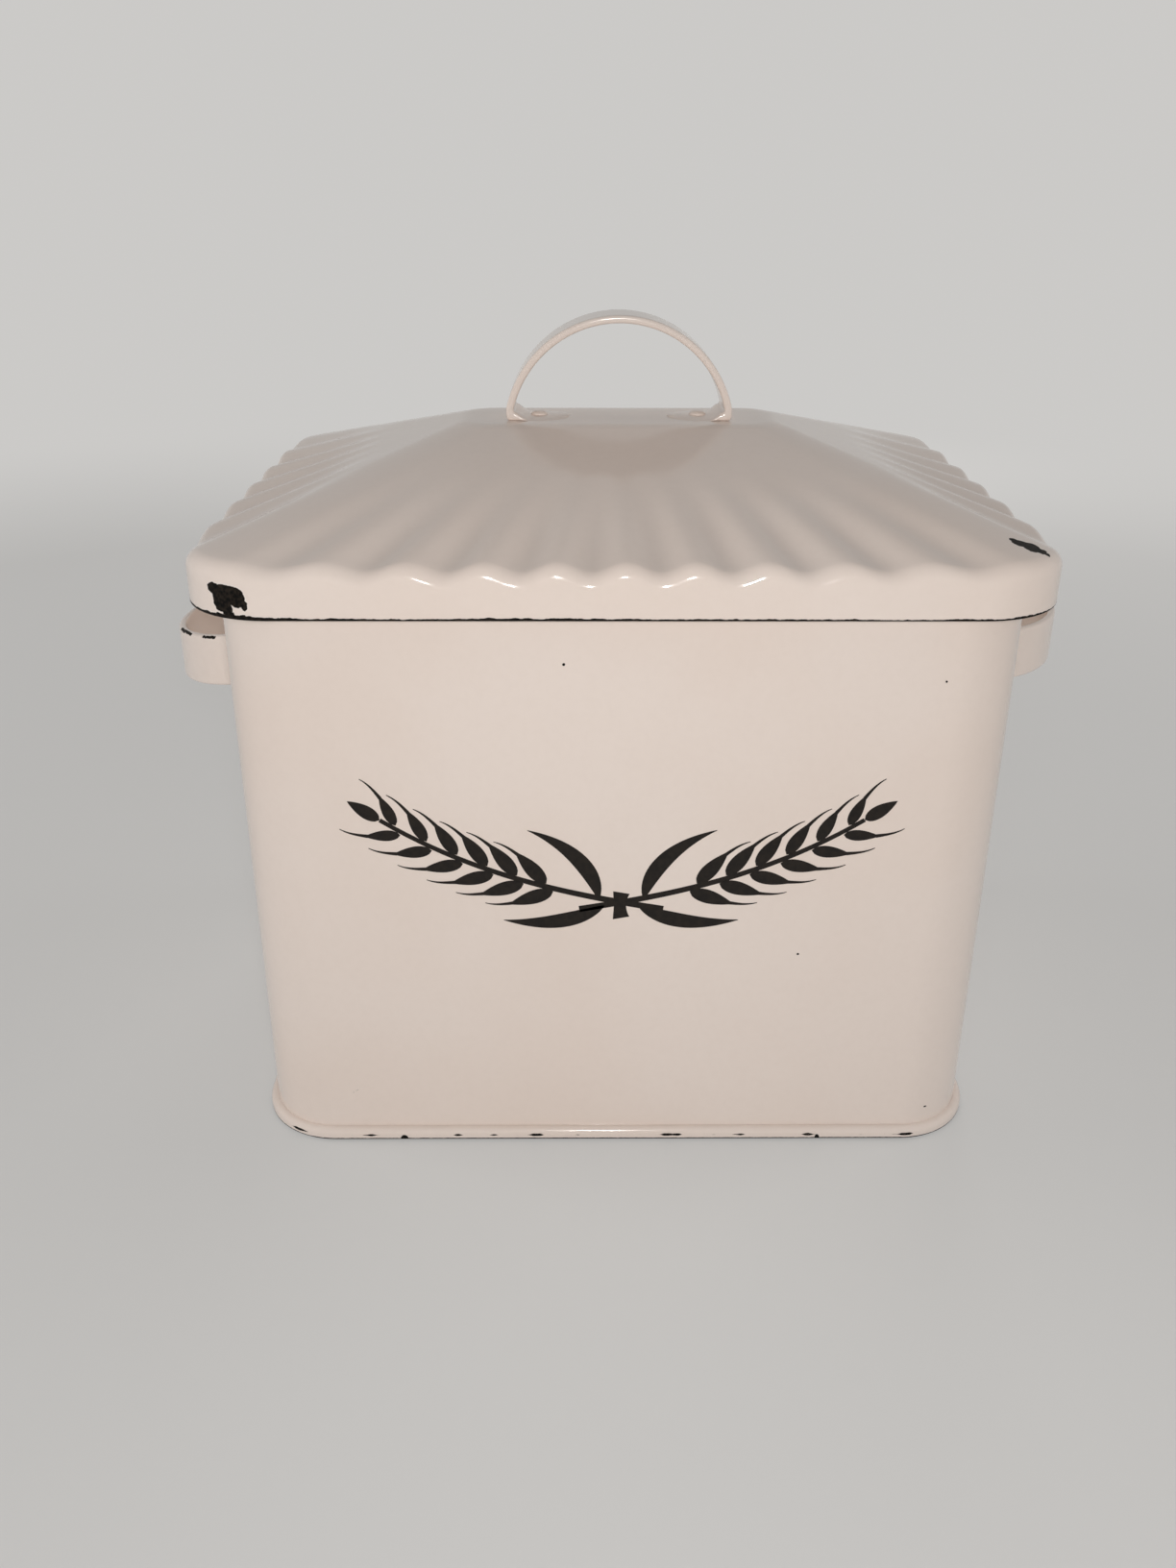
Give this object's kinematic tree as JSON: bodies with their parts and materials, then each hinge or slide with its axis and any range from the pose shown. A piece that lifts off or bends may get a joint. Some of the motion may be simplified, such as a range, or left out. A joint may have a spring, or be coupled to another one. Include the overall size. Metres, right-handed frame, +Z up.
{
  "type": "bread bin",
  "caption": "Enamelled steel bread bin with straight walls, strap handles on its ends and a lift-off lid with a fluted hipped top and an arched handle.",
  "frame": {"origin": "middle of the underside, on the surface the bin stands on", "axes": "+X to the right along the front, +Y to the back, +Z up"},
  "size_m": [0.3516, 0.232, 0.2931],
  "materials": {
    "enamel": "glossy vitreous enamel, white"
  },
  "bodies": {
    "tub": {"tub_wall": "enamel", "tub_base": "enamel", "side_handle_left": "enamel", "side_handle_right": "enamel", "side_rivet_left_front": "enamel", "side_rivet_left_back": "enamel", "side_rivet_right_front": "enamel", "side_rivet_right_back": "enamel"},
    "lid": {"lid_shell": "enamel", "lid_handle": "enamel", "lid_rivet_left": "enamel", "lid_rivet_right": "enamel"}
  },
  "joints": [
    {"name": "lid_lift", "type": "slide", "parent": "tub", "child": "lid", "axis": [0, 0, 1], "range_m": [0, 0.16]}
  ]
}
